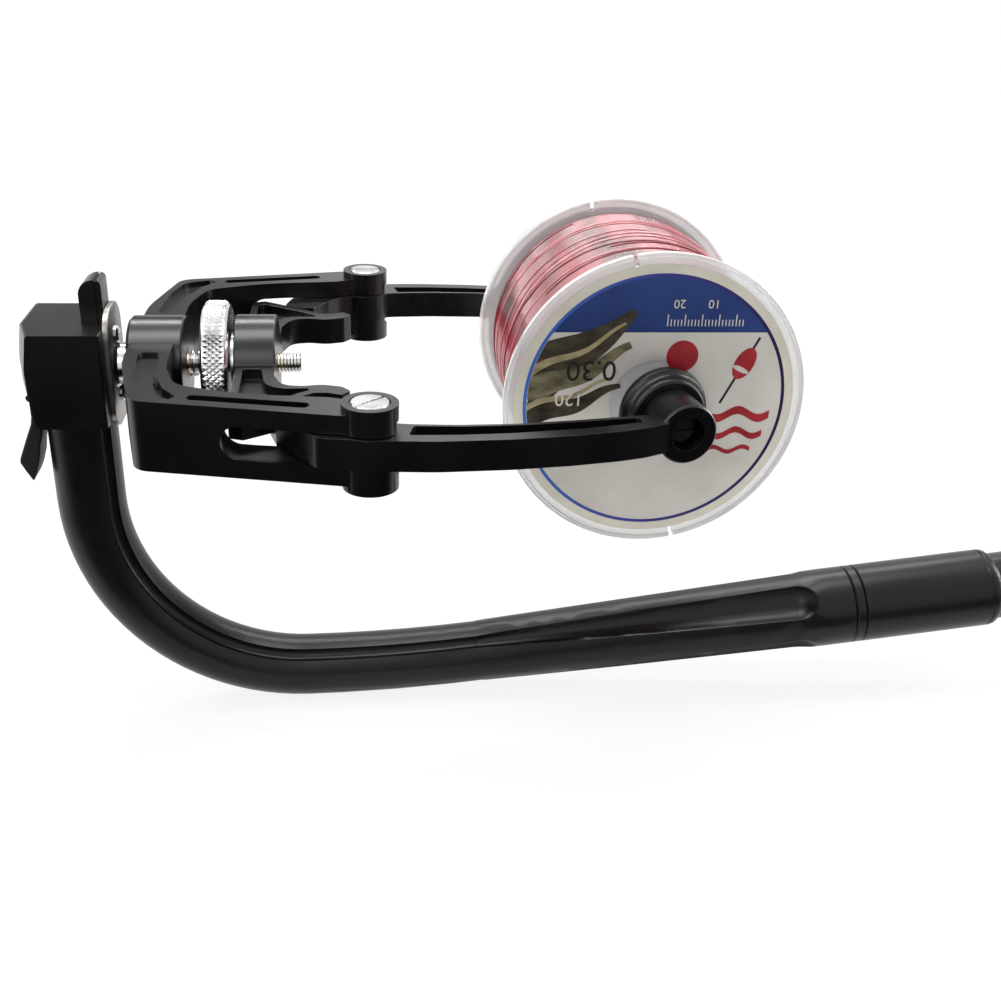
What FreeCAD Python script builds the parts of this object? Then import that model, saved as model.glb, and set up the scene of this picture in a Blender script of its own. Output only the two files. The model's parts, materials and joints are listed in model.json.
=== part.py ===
"""Fishing line winder: a J-shaped arm carries a saddle block and a threaded stud, a C-shaped yoke swivels
on the stud, and two hinged fingers on the yoke hold a line spool between spinning plugs.

Units are millimetres. The origin lies on the saddle block's flat rest face, on the stud's axis.
+X runs along the stud towards the spool, +Y is the spool's axis, and +Z is up.
The adjuster and the yoke are symmetric about the XZ plane, so most parts are drawn for +Y and mirrored.
"""
import FreeCAD
import Part
import math
import os

V = FreeCAD.Vector
X_AXIS = V(1, 0, 0)
Y_AXIS = V(0, 1, 0)
Z_AXIS = V(0, 0, 1)
ORIGIN = V(0, 0, 0)

# ---- Fits ----
RUNNING_FIT = 0.05          # radial clearance of a shaft that turns in its bore
SIDE_GAP = 0.3              # gap between faces that move past each other

# ---- Stud and the parts threaded on it, as stations along X ----
STUD_R = 3.0                # M6
STUD_START_X = 10.0
STUD_END_X = 82.7
BUSH_R = 5.0
YOKE_BOSS_X = (32.3, 48.5)
YOKE_BOSS_R = 14.5
SPRING_X = (48.7, 57.9)
SPRING_R = 3.75
SPRING_WIRE_R = 0.42
SPRING_TURNS = 4.5
WHEEL_X = (54.1, 61.8)
WHEEL_R = 18.8
WHEEL_CHAMFER = 0.8
WHEEL_RECESS_R = 4.9        # the spring's right end sits in the wheel
WHEEL_RECESS_DEPTH = 3.9
THRUST_WASHER_X = (62.1, 63.1)
THRUST_WASHER_R = 9.5
SLIDER_BOSS_X = (63.4, 75.7)
SLIDER_BOSS_R = 14.8

# ---- Saddle block ----
BLOCK_RIGHT_X = 26.2
BLOCK_HALF_Y = 16.0
BLOCK_TOP_Z = 13.9
BLOCK_BOTTOM_Z = -15.0
BLOCK_EDGE_R = 1.2
TENON = 14.0                # square tenon of the arm in the block
TENON_TOP_Z = -5.5

# ---- Strap, its pin and its hook ----
STRAP_HALF_WIDTH = 5.5
STRAP_PIN_R = 1.2
STRAP_PIN_POS = (2.95, -7.6)
STRAP_EYE_R = 2.1
STRAP_SLOT_X = (1.3, 4.5)
STRAP_TIP_Z = -39.2
HOOK_X = (19.3, 26.0)
HOOK_HALF_WIDTH = 4.7
HOOK_TOP_Z = 27.1

# ---- Flange on the block's front face ----
FLANGE_THICKNESS = 1.6
FLANGE_HALF_HEIGHT = 20.5
FLANGE_HALF_WIDTH = 8.5
FLANGE_BOSS_R = 6.4
FLANGE_BOSS_END_X = 31.9
FLANGE_SCREW_Z = 9.3
FLANGE_SCREW_R = 1.5
FLANGE_SCREW_HEAD_R = 2.6
FLANGE_SCREW_HEAD_H = 1.2
FLANGE_SCREW_DEPTH = 3.6

# ---- J-shaped arm: leg, tight bend, long bend, straight taper, collar ----
ARM_X = 15.1                # centre line of the leg
ARM_R = 10.45
BEND_START_Z = -45.0
BEND_R = 66.0
LONG_BEND_R = 520.0
HANDLE_RISE_DEG = 6.5
TAPER_START_R = 10.7
TAPER_LENGTH = 124.3
COLLAR_R = 13.8
COLLAR_LENGTH = 13.2
COLLAR_GROOVE_BACK = 3.6    # ring groove, measured back from the collar's end
SPIGOT_R = 9.0
SPIGOT_LENGTH = 37.0
SLEEVE_LENGTH = 50.0
SLEEVE_RING_BACK = 3.6
CAP_R = 11.9
CAP_LENGTH = 13.0
CAP_PLUG_LENGTH = 12.0

# ---- Flutes along the arm, two on the inside of the bend and two on the outside ----
FLUTE_CUTTER_R = 2.15
FLUTE_OFFSET = 10.58        # centre of the cutter from the arm's centre line
FLUTE_ANGLE_DEG = 50.0      # from the side of the arm towards the inside of the bend
FLUTE_END_R = 9.0
FLUTE_END_OFFSET = 18.7
FLUTE_END_ANGLE_DEG = 45.0
FLUTE_END_BACK = 11.0       # centre of the scooped end, measured back from the end of the taper
OUTER_FLUTE_START_R = 1.0
OUTER_FLUTE_START_OFFSET = 12.0

# ---- Yoke ----
YOKE_HALF_HEIGHT = 10.0
FORK_HALF_GAP = 4.7
FORK_START_X = 68.5
PIVOT_X = 103.0
PIVOT_Y = 63.6
EAR_R = 7.6
EAR_HALF_HEIGHT = 12.0
# outer and inner edge of one half of the yoke's plan, each point with its corner radius
YOKE_OUTER = [(33.8, 26.0, 60.0), (40.3, 56.5, 6.0), (102.0, 69.5, 0.0)]
YOKE_INNER = [(99.5, 57.5, 0.0), (92.5, 55.0, 10.0), (68.5, 52.1, 60.0), (50.5, 44.8, 9.0), (46.3, 29.0, 40.0)]
ARM_POCKET = [(54.9, 56.0, 1.6), (86.9, 62.6, 1.7), (87.6, 58.9, 1.7), (55.6, 52.6, 1.2)]
ARM_POCKET_DEPTH = 4.0
BACK_POCKET = [(37.6, 19.0, 1.0), (38.9, 40.0, 12.0), (42.0, 52.5, 8.0), (50.5, 56.0, 1.0),
               (52.4, 53.4, 1.0), (47.6, 49.5, 6.0), (44.3, 36.0, 12.0), (43.8, 19.0, 1.0)]
BACK_POCKET_DEPTH = 1.5
CORNER_POCKET = [(44.4, 40.0, 0.4), (46.6, 49.0, 3.0), (51.4, 53.0, 0.3), (50.6, 51.2, 0.6), (48.0, 47.6, 3.0),
                 (45.6, 39.6, 0.4)]
CORNER_POCKET_DEPTH = 3.0

# ---- Pivot screws and finger springs ----
PIVOT_R = 3.0
PIVOT_HEAD_R = 5.3
PIVOT_HEAD_Z = (10.5, 12.2)
PIVOT_THREAD_R = 2.4
PIVOT_NUT_R = 4.9
PIVOT_NUT_Z = (-12.0, -9.7)
SPRING_CHAMBER_R = 6.1
SPRING_CHAMBER_TOP_Z = 8.3
FINGER_SPRING_R = 5.1
FINGER_SPRING_WIRE_R = 0.5
FINGER_SPRING_TURNS = 3
SPRING_WINDOW_HALF_Y = 3.4

# ---- Slider bracket, one half of its plan ----
BRACKET_HALF_HEIGHT = 4.3
BRACKET_PLAN = [(63.9, 0.0, 0.0), (64.7, 49.0, 1.0), (68.8, 50.4, 0.8), (81.8, 41.7, 12.0), (87.4, 36.7, 2.5),
                (91.5, 36.6, 3.0), (95.3, 38.4, 1.0), (98.0, 35.4, 1.0), (95.4, 31.9, 2.5), (89.5, 30.1, 8.0),
                (84.5, 31.4, 8.0), (78.4, 30.4, 5.0), (75.7, 22.0, 6.0), (75.7, 0.0, 0.0)]
BRACKET_POCKET = [(66.6, 17.2, 0.6), (66.9, 46.4, 0.8), (68.4, 47.2, 0.6), (80.3, 39.4, 10.0), (86.2, 34.6, 0.6),
                  (86.0, 33.2, 0.5), (73.8, 33.2, 7.5), (71.8, 17.2, 0.6)]
BRACKET_WEB = 2.0

# ---- Finger, drawn for the +Y side: the crank's blunt end faces the bracket's slanted edge ----
FINGER_HALF_HEIGHT = 4.4
HUB_R = 8.3
FINGER_OUTER = [(75.8, 46.25, 0.8), (77.9, 54.0, 1.0), (89.6, 69.5, 6.0), (104.0, 71.4, 60.0), (120.0, 72.4, 60.0),
                (140.0, 71.4, 60.0), (156.0, 69.4, 50.0), (170.0, 66.7, 40.0), (177.5, 64.5, 12.0),
                (184.0, 61.3, 0.0)]
FINGER_INNER = [(184.0, 54.4, 0.0), (160.0, 58.4, 80.0), (143.0, 60.7, 60.0), (126.0, 61.2, 60.0),
                (112.0, 60.3, 30.0), (98.1, 56.5, 8.0), (93.8, 54.0, 8.0), (90.3, 50.3, 8.0), (87.4, 45.1, 2.0),
                (85.1, 42.5, 0.8), (82.5, 42.8, 1.0), (80.5, 43.15, 1.0)]
FINGER_POCKET = [(114.5, 61.8, 0.8), (128.0, 62.4, 60.0), (145.0, 61.6, 60.0), (160.0, 59.6, 60.0),
                 (176.0, 57.2, 0.6), (176.8, 60.4, 0.8), (160.0, 64.4, 40.0), (140.0, 67.2, 60.0),
                 (126.0, 68.0, 60.0), (113.0, 67.8, 0.8)]
FINGER_WEB = 2.2

# ---- Finger end, axle and plug, as distances from the XZ plane ----
SPOOL_X = 186.0
TILT_DEG = 10.0             # each finger stands this far open, so its axle leans by as much
TILT_Y = 36.0               # where the leaning axle crosses the spool's axis
END_BOSS_R = 8.7
END_BOSS_Y = (47.3, 59.8)
COUNTERBORE_R = 4.8
COUNTERBORE_FLOOR_Y = 53.4
AXLE_R = 2.5
AXLE_HEAD_R = 4.1
AXLE_HEAD_H = 2.2
AXLE_END_Y = 31.6
# outline of the plug as (distance from the XZ plane, radius): body, bead, flange and cone
PLUG_PROFILE = [(47.0, AXLE_R + RUNNING_FIT), (47.0, 10.6), (46.3, 11.3), (45.0, 11.5), (44.0, 11.9),
                (43.4, 12.5), (43.0, 13.2), (40.8, 13.2), (40.2, 12.6), (39.8, 8.8), (31.6, 3.4),
                (31.2, AXLE_R + RUNNING_FIT)]

# ---- Spool ----
FLANGE_R = 44.8
SPOOL_HALF_WIDTH = 35.6
FLANGE_WALL = 2.0
RIM_BEAD = 1.3
RIM_BEAD_PROUD = 0.5
HUB_BORE_R = 7.4
HUB_SOCKET_R = 9.6
HUB_SOCKET_DEPTH = 9.0
CORE_R = 22.0
CORE_WALL = 2.0
WINDING_R = 40.6
WINDING_HALF_WIDTH = 33.3
LABEL_R = 41.6
LABEL_HOLE_R = 13.4
LABEL_THICKNESS = 0.3
RIM_NOTCH_WIDTH = 1.2
RIM_NOTCH_DEPTH = 3.5


def rounded_face(points, swap=None):
    """Flat face from corner points (x, y, radius); swap places a corner in space, by default at z = 0."""
    place = swap or (lambda a, b: V(a, b, 0))
    corners = [place(a, b) for a, b, _ in points]
    edges = []
    joins = []
    for i, (_, _, radius) in enumerate(points):
        here = corners[i]
        back = (corners[i - 1] - here).normalize()
        ahead = (corners[(i + 1) % len(corners)] - here).normalize()
        if radius == 0:
            joins.append((here, None, here))
            continue
        half_turn = back.getAngle(ahead) / 2
        reach = radius / math.tan(half_turn)
        middle = (back + ahead).normalize()
        crown = here + middle * (radius / math.sin(half_turn) - radius)
        joins.append((here + back * reach, crown, here + ahead * reach))
    for i, (start, crown, end) in enumerate(joins):
        if crown is not None:
            edges.append(Part.Arc(start, crown, end).toShape())
        following = joins[(i + 1) % len(joins)][0]
        if (following - end).Length > 1e-6:
            edges.append(Part.LineSegment(end, following).toShape())
    return Part.Face(Part.Wire(edges))


def prism(points, low, high):
    """Plan outline extruded from z = low to z = high."""
    face = rounded_face(points)
    face.translate(Z_AXIS * low)
    return face.extrude(Z_AXIS * (high - low))


def cylinder(start, axis, radius, length):
    return Part.makeCylinder(radius, length, start, axis)


def block(low, high):
    size = [b - a for a, b in zip(low, high)]
    return Part.makeBox(*size, V(*low))


def tube_x(span, outer, inner):
    """Tube on the stud's axis between two X stations."""
    start = X_AXIS * span[0]
    length = span[1] - span[0]
    return cylinder(start, X_AXIS, outer, length).cut(cylinder(start, X_AXIS, inner, length))


def turned(profile, start, axis, side):
    """Solid of revolution from (distance along axis, radius) pairs."""
    points = [start + axis * along + side * radius for along, radius in profile]
    wire = Part.makePolygon(points + points[:1])
    return Part.Face(wire).revolve(start, axis, 360)


def mirrored(shape):
    return shape.mirror(ORIGIN, Y_AXIS)


def both_sides(shape):
    return [shape, mirrored(shape)]


def joined(shapes):
    """One solid from overlapping shapes."""
    first = shapes[0]
    return first.fuse(shapes[1:]).removeSplitter()


# ---- Arm ----

def direction(angle_deg):
    """Unit vector in the XZ plane, turned from +X towards +Z."""
    angle = math.radians(angle_deg)
    return V(math.cos(angle), 0, math.sin(angle))


BEND_CENTRE = V(ARM_X + BEND_R, 0, BEND_START_Z)
LONG_BEND_CENTRE = V(ARM_X + BEND_R, 0, BEND_START_Z - BEND_R + LONG_BEND_R)
HANDLE_DIR = direction(HANDLE_RISE_DEG)
HANDLE_UP = direction(HANDLE_RISE_DEG + 90)
HANDLE_START = LONG_BEND_CENTRE + direction(HANDLE_RISE_DEG - 90) * LONG_BEND_R


def bend(centre, radius, tube_r, start_deg, turn_deg, y=0.0):
    """Part of a torus about a line along Y."""
    face_centre = centre + direction(start_deg) * radius + Y_AXIS * y
    tangent = direction(start_deg + 90)
    ring = Part.Wire(Part.makeCircle(tube_r, face_centre, tangent))
    return Part.Face(ring).revolve(centre + Y_AXIS * y, V(0, -1, 0), turn_deg)


def handle_point(along):
    return HANDLE_START + HANDLE_DIR * along


def flute_cutters(side):
    """Cutters of the two flutes on one side of the arm: side is +1 for +Y and -1 for -Y."""
    inward = math.sin(math.radians(FLUTE_ANGLE_DEG)) * FLUTE_OFFSET
    sideways = side * math.cos(math.radians(FLUTE_ANGLE_DEG)) * FLUTE_OFFSET
    leg_top = V(ARM_X + inward, sideways, BLOCK_BOTTOM_Z + 1)
    leg = cylinder(leg_top, V(0, 0, -1), FLUTE_CUTTER_R, leg_top.z - BEND_START_Z)
    tight = bend(BEND_CENTRE, BEND_R - inward, FLUTE_CUTTER_R, 180, 90, sideways)
    long = bend(LONG_BEND_CENTRE, LONG_BEND_R - inward, FLUTE_CUTTER_R, 270, HANDLE_RISE_DEG, sideways)
    cutters = [leg, tight, long]
    end_along = TAPER_LENGTH - FLUTE_END_BACK
    for up, start_r, start_offset in ((1, FLUTE_CUTTER_R, FLUTE_OFFSET),
                                      (-1, OUTER_FLUTE_START_R, OUTER_FLUTE_START_OFFSET)):
        start = flute_point(0, start_offset, FLUTE_ANGLE_DEG, side, up)
        end = flute_point(end_along, FLUTE_END_OFFSET, FLUTE_END_ANGLE_DEG, side, up)
        run = end - start
        cutters.append(Part.makeCone(start_r, FLUTE_END_R, run.Length, start, run))
        cutters.append(Part.makeSphere(FLUTE_END_R, end))
    return cutters


def flute_point(along, offset, angle_deg, side, up):
    angle = math.radians(angle_deg)
    return (handle_point(along) + HANDLE_UP * (up * math.sin(angle) * offset)
            + Y_AXIS * (side * math.cos(angle) * offset))


def make_j_arm():
    leg = cylinder(V(ARM_X, 0, BEND_START_Z), Z_AXIS, ARM_R, BLOCK_BOTTOM_Z - BEND_START_Z)
    half = TENON / 2
    tenon = block((ARM_X - half, -half, BLOCK_BOTTOM_Z - 1), (ARM_X + half, half, TENON_TOP_Z))
    tight = bend(BEND_CENTRE, BEND_R, ARM_R, 180, 90)
    long = bend(LONG_BEND_CENTRE, LONG_BEND_R, ARM_R, 270, HANDLE_RISE_DEG)
    groove = TAPER_LENGTH + COLLAR_LENGTH - COLLAR_GROOVE_BACK
    end = TAPER_LENGTH + COLLAR_LENGTH
    handle = turned([(0, 0), (0, ARM_R), (3, TAPER_START_R), (TAPER_LENGTH, COLLAR_R), (groove - 0.5, COLLAR_R),
                     (groove, COLLAR_R - 0.5), (groove + 0.5, COLLAR_R), (end - 0.5, COLLAR_R),
                     (end, COLLAR_R - 0.5), (end, SPIGOT_R), (end + SPIGOT_LENGTH, SPIGOT_R),
                     (end + SPIGOT_LENGTH, 0)], HANDLE_START, HANDLE_DIR, HANDLE_UP)
    arm = joined([leg, tenon, tight, long, handle])
    for side in (1, -1):
        arm = arm.cut(flute_cutters(side))
    return arm


def make_butt_sleeve():
    start = TAPER_LENGTH + COLLAR_LENGTH
    end = start + SLEEVE_LENGTH
    ring = end - SLEEVE_RING_BACK
    profile = [(start, SPIGOT_R), (start, COLLAR_R - 0.5), (start + 0.5, COLLAR_R), (ring - 0.5, COLLAR_R),
               (ring, COLLAR_R - 0.5), (ring + 0.5, COLLAR_R), (end - 1.5, COLLAR_R - 0.2), (end, COLLAR_R - 1.4),
               (end, SPIGOT_R)]
    return turned(profile, HANDLE_START, HANDLE_DIR, HANDLE_UP)


def make_butt_cap():
    start = TAPER_LENGTH + COLLAR_LENGTH + SLEEVE_LENGTH
    end = start + CAP_LENGTH
    profile = [(start - CAP_PLUG_LENGTH, 0), (start - CAP_PLUG_LENGTH, SPIGOT_R), (start, SPIGOT_R),
               (start, CAP_R), (end - 2.2, CAP_R), (end - 0.7, CAP_R - 0.7), (end, CAP_R - 2.2), (end, 0)]
    return turned(profile, HANDLE_START, HANDLE_DIR, HANDLE_UP)


# ---- Saddle block ----

def strap_eye(radius, half_width):
    x, z = STRAP_PIN_POS
    return cylinder(V(x, -half_width, z), Y_AXIS, radius, 2 * half_width)


def make_saddle_block():
    plan = [(0, BLOCK_HALF_Y, 2.5), (0, -4.0, 12.0), (3.9, -BLOCK_HALF_Y, 1.2),
            (BLOCK_RIGHT_X, -BLOCK_HALF_Y, 0.8), (BLOCK_RIGHT_X, BLOCK_HALF_Y, 0.8)]
    body = prism(plan, BLOCK_BOTTOM_Z, BLOCK_TOP_Z)
    side = rounded_face([(1.2, BLOCK_TOP_Z, 1.6), (0, 7.0, 0), (0, -7.0, 0), (1.4, BLOCK_BOTTOM_Z, 2.0),
                         (BLOCK_RIGHT_X, BLOCK_BOTTOM_Z, 0.6), (BLOCK_RIGHT_X, BLOCK_TOP_Z, 0.6)],
                        lambda x, z: V(x, -BLOCK_HALF_Y, z))
    body = body.common(side.extrude(Y_AXIS * (2 * BLOCK_HALF_Y)))
    far_right = BLOCK_RIGHT_X + 40
    belly = rounded_face([(5.7, BLOCK_TOP_Z, 1.2), (4.1, 3.0, 16.0), (4.3, -5.0, 16.0), (5.6, BLOCK_BOTTOM_Z, 2.0),
                          (far_right, BLOCK_BOTTOM_Z, 0), (far_right, BLOCK_TOP_Z, 0)],
                         lambda x, z: V(x, -BLOCK_HALF_Y, z))
    body = body.common(belly.extrude(V(-10.4, 2 * BLOCK_HALF_Y, 0)))
    half = TENON / 2
    socket = block((ARM_X - half, -half, BLOCK_BOTTOM_Z), (ARM_X + half, half, TENON_TOP_Z))
    stud_hole = cylinder(X_AXIS * STUD_START_X, X_AXIS, STUD_R, BLOCK_RIGHT_X)
    slot = block((STRAP_SLOT_X[0], -STRAP_HALF_WIDTH, BLOCK_BOTTOM_Z),
                 (STRAP_SLOT_X[1], STRAP_HALF_WIDTH, STRAP_PIN_POS[1]))
    pin_hole = strap_eye(STRAP_PIN_R, STRAP_HALF_WIDTH + 4)
    foot = hook_foot()
    screws = [flange_screw_shank(z) for z in (FLANGE_SCREW_Z, -FLANGE_SCREW_Z)]
    eye_room = strap_eye(STRAP_EYE_R, STRAP_HALF_WIDTH)
    return body.cut([socket, stud_hole, slot, eye_room, pin_hole, foot] + screws)


def make_rod_strap():
    """Short rubber strap, hung on its pin in the block, with a pointed end to pull on."""
    left, right = STRAP_SLOT_X
    run = rounded_face([(left, STRAP_PIN_POS[1], 0), (left, -17.0, 8.0), (-4.1, -30.0, 8.0), (-4.1, STRAP_TIP_Z, 0),
                        (-0.9, STRAP_TIP_Z, 0), (-0.9, -30.6, 8.0), (right - 0.1, -17.6, 8.0),
                        (right - 0.1, STRAP_PIN_POS[1], 0)], lambda x, z: V(x, -STRAP_HALF_WIDTH, z))
    strap = joined([run.extrude(Y_AXIS * (2 * STRAP_HALF_WIDTH)), strap_eye(STRAP_EYE_R, STRAP_HALF_WIDTH)])
    point = rounded_face([(-STRAP_HALF_WIDTH, 0, 0), (STRAP_HALF_WIDTH, 0, 0), (STRAP_HALF_WIDTH, -33.4, 1.0),
                          (0, STRAP_TIP_Z, 1.5), (-STRAP_HALF_WIDTH, -33.4, 1.0)], lambda y, z: V(-10, y, z))
    strap = strap.common(point.extrude(X_AXIS * 30))
    return strap.cut(strap_eye(STRAP_PIN_R, STRAP_HALF_WIDTH))


def make_strap_pin():
    return strap_eye(STRAP_PIN_R, STRAP_HALF_WIDTH + 4)


def hook_foot():
    return block((20.8, -3.0, BLOCK_TOP_Z - 2.5), (24.8, 3.0, BLOCK_TOP_Z))


def make_strap_hook():
    """Upright lug with a rounded back shoulder and a bead round its front edge."""
    left, right = HOOK_X
    side = rounded_face([(left, BLOCK_TOP_Z, 0), (left, HOOK_TOP_Z, 4.6), (right, HOOK_TOP_Z, 1.6),
                         (right, BLOCK_TOP_Z, 0)], lambda x, z: V(x, -HOOK_HALF_WIDTH, z))
    lug = side.extrude(Y_AXIS * (2 * HOOK_HALF_WIDTH))
    seam = block((right - 1.9, -HOOK_HALF_WIDTH, BLOCK_TOP_Z), (right - 1.4, HOOK_HALF_WIDTH, HOOK_TOP_Z))
    core = block((left, -HOOK_HALF_WIDTH + 0.5, BLOCK_TOP_Z), (right, HOOK_HALF_WIDTH - 0.5, HOOK_TOP_Z - 0.5))
    return joined([lug.cut(seam.cut(core)), hook_foot()])


def flange_screw_shank(z):
    start = BLOCK_RIGHT_X - FLANGE_SCREW_DEPTH
    return cylinder(V(start, 0, z), X_AXIS, FLANGE_SCREW_R, FLANGE_SCREW_DEPTH + FLANGE_THICKNESS)


def make_flange_plate():
    """Two-hole diamond flange with the boss that the stud stands in."""
    outline = rounded_face([(0, FLANGE_HALF_HEIGHT, 3.0), (FLANGE_HALF_WIDTH, 0, 7.0),
                            (0, -FLANGE_HALF_HEIGHT, 3.0), (-FLANGE_HALF_WIDTH, 0, 7.0)],
                           lambda y, z: V(BLOCK_RIGHT_X, y, z))
    plate = outline.extrude(X_AXIS * FLANGE_THICKNESS)
    plate_face = BLOCK_RIGHT_X + FLANGE_THICKNESS
    boss = turned([(plate_face - 1, 0), (plate_face - 1, FLANGE_BOSS_R), (FLANGE_BOSS_END_X - 0.6, FLANGE_BOSS_R),
                   (FLANGE_BOSS_END_X, FLANGE_BOSS_R - 0.6), (FLANGE_BOSS_END_X, 0)], ORIGIN, X_AXIS, Y_AXIS)
    body = joined([plate, boss])
    holes = [flange_screw_shank(z) for z in (FLANGE_SCREW_Z, -FLANGE_SCREW_Z)]
    return body.cut(holes + [cylinder(ORIGIN, X_AXIS, STUD_R, STUD_END_X)])


def make_flange_screws():
    screws = []
    for z in (FLANGE_SCREW_Z, -FLANGE_SCREW_Z):
        seat = V(BLOCK_RIGHT_X + FLANGE_THICKNESS, 0, z)
        head = turned([(0, 0), (0, FLANGE_SCREW_HEAD_R), (0.6, FLANGE_SCREW_HEAD_R),
                       (FLANGE_SCREW_HEAD_H, FLANGE_SCREW_HEAD_R - 0.7), (FLANGE_SCREW_HEAD_H, 0)],
                      seat, X_AXIS, Y_AXIS)
        slot_low = seat + V(0.5, -FLANGE_SCREW_HEAD_R, -0.3)
        slot = Part.makeBox(1, 2 * FLANGE_SCREW_HEAD_R, 0.6, slot_low)
        slot.rotate(seat, X_AXIS, 35)
        screws.append(joined([head, flange_screw_shank(z)]).cut(slot))
    return screws


def make_stud():
    length = STUD_END_X - STUD_START_X
    profile = [(0, 0), (0, STUD_R), (length - 0.6, STUD_R), (length, STUD_R - 0.6), (length, 0)]
    return turned(profile, X_AXIS * STUD_START_X, X_AXIS, Y_AXIS)


# ---- Yoke ----

def at_pivot(span, radius):
    """Disc or shaft on the +Y pivot between two heights."""
    return cylinder(V(PIVOT_X, PIVOT_Y, span[0]), Z_AXIS, radius, span[1] - span[0])


def make_yoke_half():
    plan = [(33.8, 0, 0)] + YOKE_OUTER + YOKE_INNER + [(46.3, 0, 0)]
    body = prism(plan, -YOKE_HALF_HEIGHT, YOKE_HALF_HEIGHT)
    body = joined([body, at_pivot((-EAR_HALF_HEIGHT, EAR_HALF_HEIGHT), EAR_R)])
    fork = block((FORK_START_X, 40, -FORK_HALF_GAP), (PIVOT_X + 20, 90, FORK_HALF_GAP))
    fork_end = cylinder(V(FORK_START_X, 40, 0), Y_AXIS, FORK_HALF_GAP, 50)
    cuts = [fork, fork_end]
    for top in (1, -1):
        cuts += [pocket(ARM_POCKET, ARM_POCKET_DEPTH, top), pocket(BACK_POCKET, BACK_POCKET_DEPTH, top),
                 pocket(CORNER_POCKET, CORNER_POCKET_DEPTH, top)]
        cuts.append(at_pivot(sorted((0, top * SPRING_CHAMBER_TOP_Z)), SPRING_CHAMBER_R))
        low, high = sorted((0, top * (SPRING_CHAMBER_TOP_Z - 0.8)))
        cuts.append(block((PIVOT_X, PIVOT_Y - SPRING_WINDOW_HALF_Y, low),
                          (PIVOT_X + EAR_R + 1, PIVOT_Y + SPRING_WINDOW_HALF_Y, high)))
    cuts.append(at_pivot((-EAR_HALF_HEIGHT, EAR_HALF_HEIGHT), PIVOT_R + 0.02))
    cuts.append(at_pivot((PIVOT_HEAD_Z[0], EAR_HALF_HEIGHT + 1), PIVOT_HEAD_R + 0.2))
    cuts.append(at_pivot(PIVOT_NUT_Z, PIVOT_NUT_R))
    return body.cut(cuts)


def pocket(plan, depth, top):
    """Cutter of a pocket in the yoke's upper (top = 1) or lower (top = -1) face."""
    low, high = sorted((top * (YOKE_HALF_HEIGHT - depth), top * (YOKE_HALF_HEIGHT + 3)))
    return prism(plan, low, high)


def make_yoke_frame():
    half = make_yoke_half()
    boss = turned([(YOKE_BOSS_X[0], 0), (YOKE_BOSS_X[0], YOKE_BOSS_R - 1), (YOKE_BOSS_X[0] + 1, YOKE_BOSS_R),
                   (YOKE_BOSS_X[1] - 0.5, YOKE_BOSS_R), (YOKE_BOSS_X[1], YOKE_BOSS_R - 0.5), (YOKE_BOSS_X[1], 0)],
                  ORIGIN, X_AXIS, Y_AXIS)
    frame = joined([boss] + both_sides(half))
    return frame.cut(cylinder(ORIGIN, X_AXIS, BUSH_R, STUD_END_X))


def make_drag_spring():
    """Open coil spring round the stud."""
    inset = SPRING_WIRE_R
    height = SPRING_X[1] - SPRING_X[0] - 2 * inset
    helix = Part.makeHelix(height / SPRING_TURNS, height, SPRING_R)
    section = [V(SPRING_R, 0, 0) + direction(45 * i) * SPRING_WIRE_R for i in range(8)]
    ring = Part.makePolygon(section + section[:1])
    coil = Part.Wire(helix).makePipeShell([ring], True, True)
    coil.rotate(ORIGIN, Y_AXIS, 90)
    coil.translate(X_AXIS * (SPRING_X[0] + inset))
    return coil


def make_pivot_screws():
    shoulder = PIVOT_NUT_Z[1]
    profile = [(PIVOT_NUT_Z[0], 0), (PIVOT_NUT_Z[0], PIVOT_THREAD_R), (shoulder, PIVOT_THREAD_R),
               (shoulder, PIVOT_R), (PIVOT_HEAD_Z[0], PIVOT_R), (PIVOT_HEAD_Z[0], PIVOT_HEAD_R),
               (PIVOT_HEAD_Z[1] - 0.4, PIVOT_HEAD_R), (PIVOT_HEAD_Z[1], PIVOT_HEAD_R - 0.4), (PIVOT_HEAD_Z[1], 0)]
    foot = V(PIVOT_X, PIVOT_Y, 0)
    screw = turned(profile, foot, Z_AXIS, X_AXIS)
    slot = block((-PIVOT_HEAD_R, -0.45, PIVOT_HEAD_Z[1] - 0.7), (PIVOT_HEAD_R, 0.45, PIVOT_HEAD_Z[1]))
    screws = []
    for end, angle in ((screw, 3), (mirrored(screw), 42)):
        turned_slot = slot.copy()
        turned_slot.rotate(ORIGIN, Z_AXIS, angle)
        turned_slot.translate(V(PIVOT_X, PIVOT_Y if end is screw else -PIVOT_Y, 0))
        screws.append(end.cut(turned_slot))
    return screws


def make_pivot_nuts():
    low, high = PIVOT_NUT_Z
    nut = at_pivot(PIVOT_NUT_Z, PIVOT_NUT_R).cut(at_pivot((low, high), PIVOT_THREAD_R))
    return both_sides(nut)


def make_finger_springs():
    """Closed coils round the pivots, two on each pivot, each drawn as rings that touch."""
    pitch = 2 * FINGER_SPRING_WIRE_R - 0.04
    springs = []
    for top in (1, -1):
        first = FORK_HALF_GAP + 0.7
        rings = []
        for turn in range(FINGER_SPRING_TURNS):
            centre = V(PIVOT_X, PIVOT_Y, top * (first + pitch * turn))
            rings.append(Part.makeTorus(FINGER_SPRING_R, FINGER_SPRING_WIRE_R, centre))
        springs += both_sides(joined(rings))
    return springs


# ---- Adjuster ----

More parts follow.
